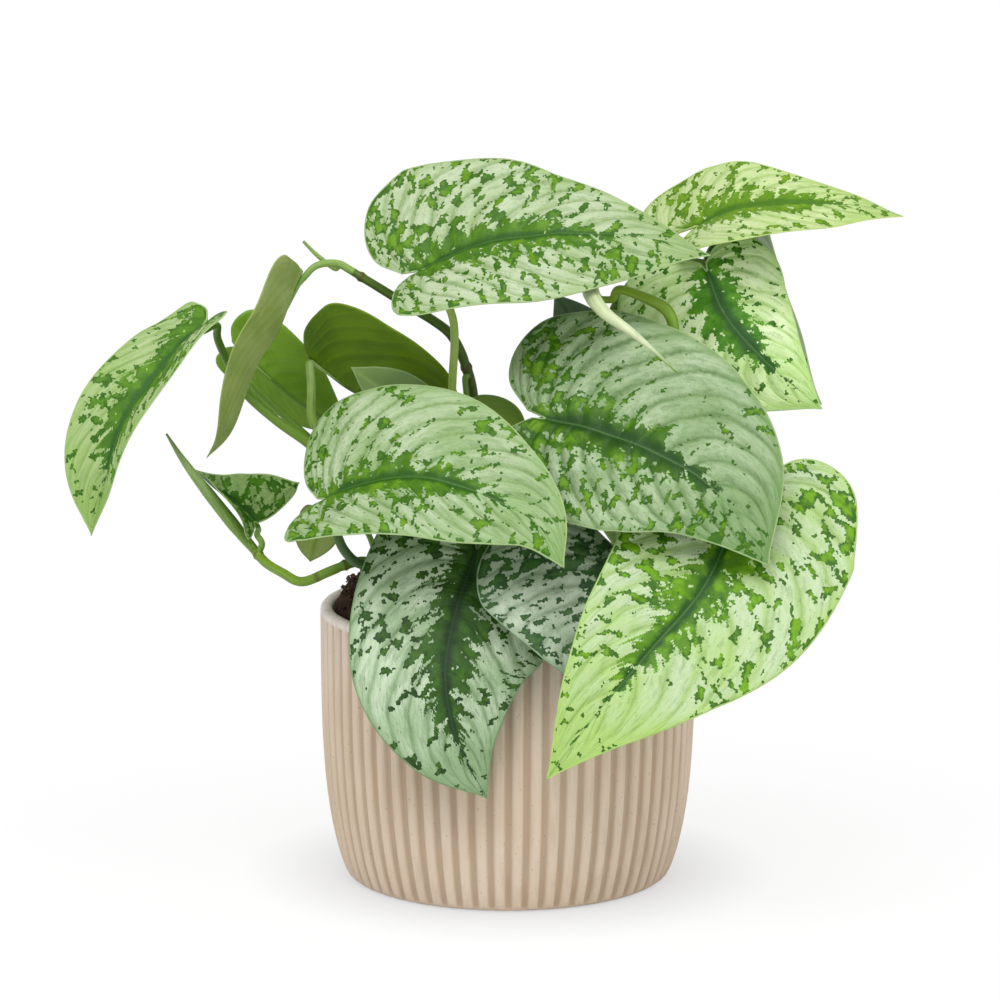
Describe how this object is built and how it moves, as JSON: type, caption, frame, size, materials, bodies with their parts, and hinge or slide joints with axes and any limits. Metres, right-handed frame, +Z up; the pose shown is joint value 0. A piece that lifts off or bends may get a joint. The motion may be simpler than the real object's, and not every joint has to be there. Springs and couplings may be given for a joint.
{
  "type": "potted plant",
  "caption": "Trailing satin pothos with silver-blotched heart-shaped leaves on curved stems, in a round vertically grooved ceramic pot filled with soil.",
  "frame": {"origin": "middle of the pot's flat foot, on the surface it stands on", "axes": "+Z up along the pot's axis; +X to the viewer's right, along the plant's longest spread; -Y towards the viewer, the side that the large leaves hang over"},
  "size_m": [0.3288, 0.2142, 0.287],
  "materials": {
    "pot": "matte",
    "soil": "matte",
    "variegated_leaf": "satin",
    "green_leaf": "satin",
    "petiole": "satin",
    "vine": "satin",
    "new_growth": "satin",
    "dry_bark": "matte"
  },
  "bodies": {
    "root": {"pot": "pot", "potting_soil": "soil", "leaf_top": "variegated_leaf", "leaf_upper_right": "variegated_leaf", "leaf_right_hanging": "variegated_leaf", "leaf_right_behind": "variegated_leaf", "leaf_centre_right": "variegated_leaf", "leaf_lower_right": "variegated_leaf", "leaf_lower_left": "variegated_leaf", "leaf_lower_middle": "variegated_leaf", "leaf_centre_left": "variegated_leaf", "leaf_far_left": "variegated_leaf", "leaf_edge_on": "green_leaf", "leaf_back_left": "green_leaf", "leaf_green_underside": "green_leaf", "leaf_small_grey": "green_leaf", "leaf_small_spotted": "variegated_leaf", "leaf_small_pale": "green_leaf", "leaf_olive": "green_leaf", "leaf_dark": "green_leaf", "leaf_rear_right": "variegated_leaf", "leaf_rear_middle": "variegated_leaf", "leaf_rear_left": "variegated_leaf", "leaf_rear_upper": "variegated_leaf", "petiole_top": "petiole", "petiole_upper_right": "petiole", "petiole_right_hanging": "petiole", "petiole_right_behind": "petiole", "petiole_centre_right": "petiole", "petiole_lower_right": "petiole", "petiole_lower_left": "petiole", "petiole_lower_middle": "petiole", "petiole_centre_left": "petiole", "petiole_far_left": "petiole", "petiole_back_left": "petiole", "petiole_green_underside": "petiole", "petiole_edge_on": "petiole", "petiole_small_grey": "petiole", "petiole_small_spotted": "petiole", "petiole_small_pale": "petiole", "petiole_olive": "petiole", "petiole_dark": "petiole", "petiole_rear_right": "petiole", "petiole_rear_middle": "petiole", "petiole_rear_left": "petiole", "petiole_rear_upper": "petiole", "main_vine": "vine", "left_vine": "vine", "rear_vine": "vine", "low_vine": "petiole", "shoot_stem": "petiole", "new_shoot": "new_growth", "rolled_new_leaf": "new_growth", "curved_sheath": "petiole", "upper_sheath": "new_growth", "old_stub": "dry_bark", "papery_sheath": "dry_bark"}
  },
  "joints": []
}
